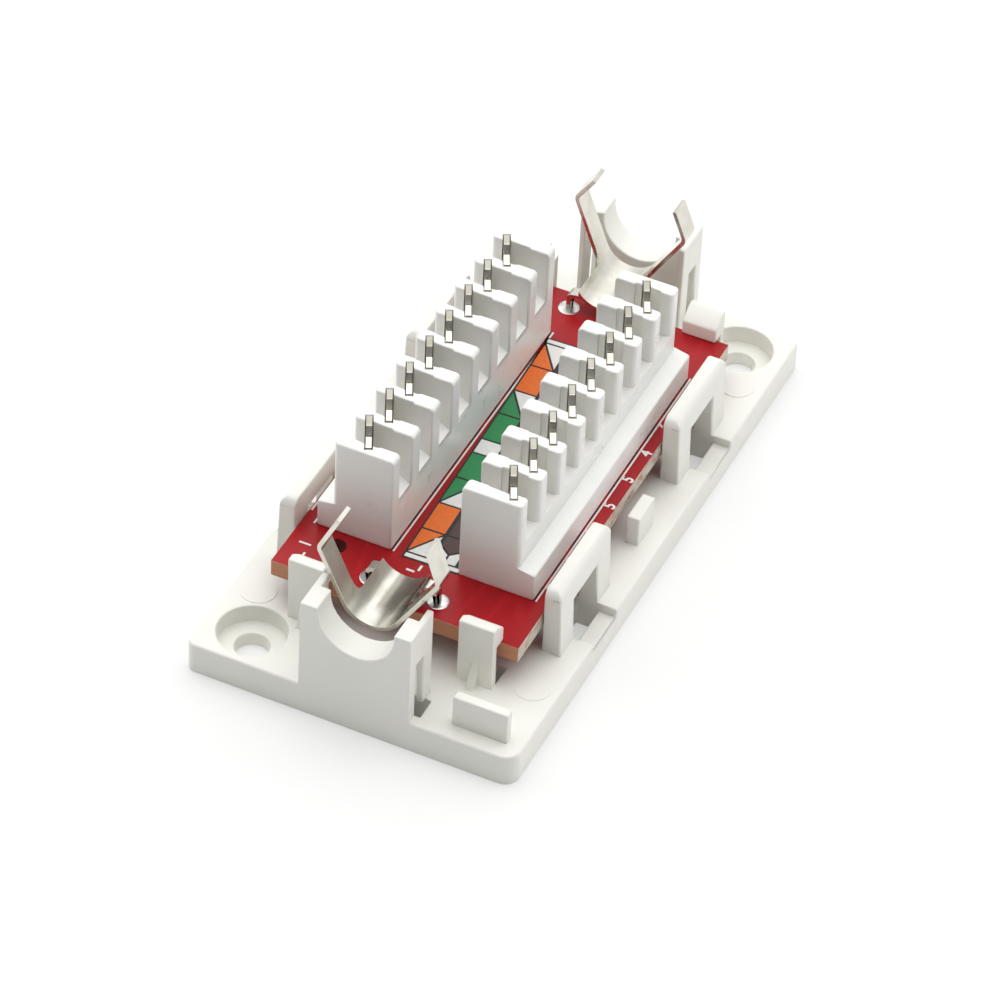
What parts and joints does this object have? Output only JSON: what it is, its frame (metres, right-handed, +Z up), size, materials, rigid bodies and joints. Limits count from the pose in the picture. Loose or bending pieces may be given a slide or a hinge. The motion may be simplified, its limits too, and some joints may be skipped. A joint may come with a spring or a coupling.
{
  "type": "data cable connection box base",
  "caption": "Open base of a data cabling connection box: moulded plate, red circuit board, two rows of slotted wire contacts and a spring shield clip at each end.",
  "frame": {"origin": "centre of the plate's underside, where the box meets the wall", "axes": "+Z up from the plate towards the missing cover, +Y along the long side away from the first contacts, +X along the short side"},
  "size_m": [0.0302, 0.0598, 0.0188],
  "materials": {
    "base_plastic": "fine satin moulding",
    "block_plastic": "satin moulding",
    "circuit_board": "red solder mask on glass fibre board",
    "contact_metal": "tin plated, satin",
    "spring_metal": "nickel plated, smooth",
    "solder": "bright solder"
  },
  "bodies": {
    "root": {"base": "base_plastic", "circuit_board": "circuit_board", "terminal_block_left": "block_plastic", "terminal_block_right": "block_plastic", "idc_contact_left_1": "contact_metal", "idc_contact_left_2": "contact_metal", "idc_contact_left_3": "contact_metal", "idc_contact_left_4": "contact_metal", "idc_contact_left_5": "contact_metal", "idc_contact_left_6": "contact_metal", "idc_contact_left_7": "contact_metal", "idc_contact_left_8": "contact_metal", "idc_contact_right_1": "contact_metal", "idc_contact_right_2": "contact_metal", "idc_contact_right_3": "contact_metal", "idc_contact_right_4": "contact_metal", "idc_contact_right_5": "contact_metal", "idc_contact_right_6": "contact_metal", "idc_contact_right_7": "contact_metal", "idc_contact_right_8": "contact_metal", "shield_clip_front": "spring_metal", "shield_clip_rear": "spring_metal", "solder_joints": "solder"}
  },
  "joints": []
}
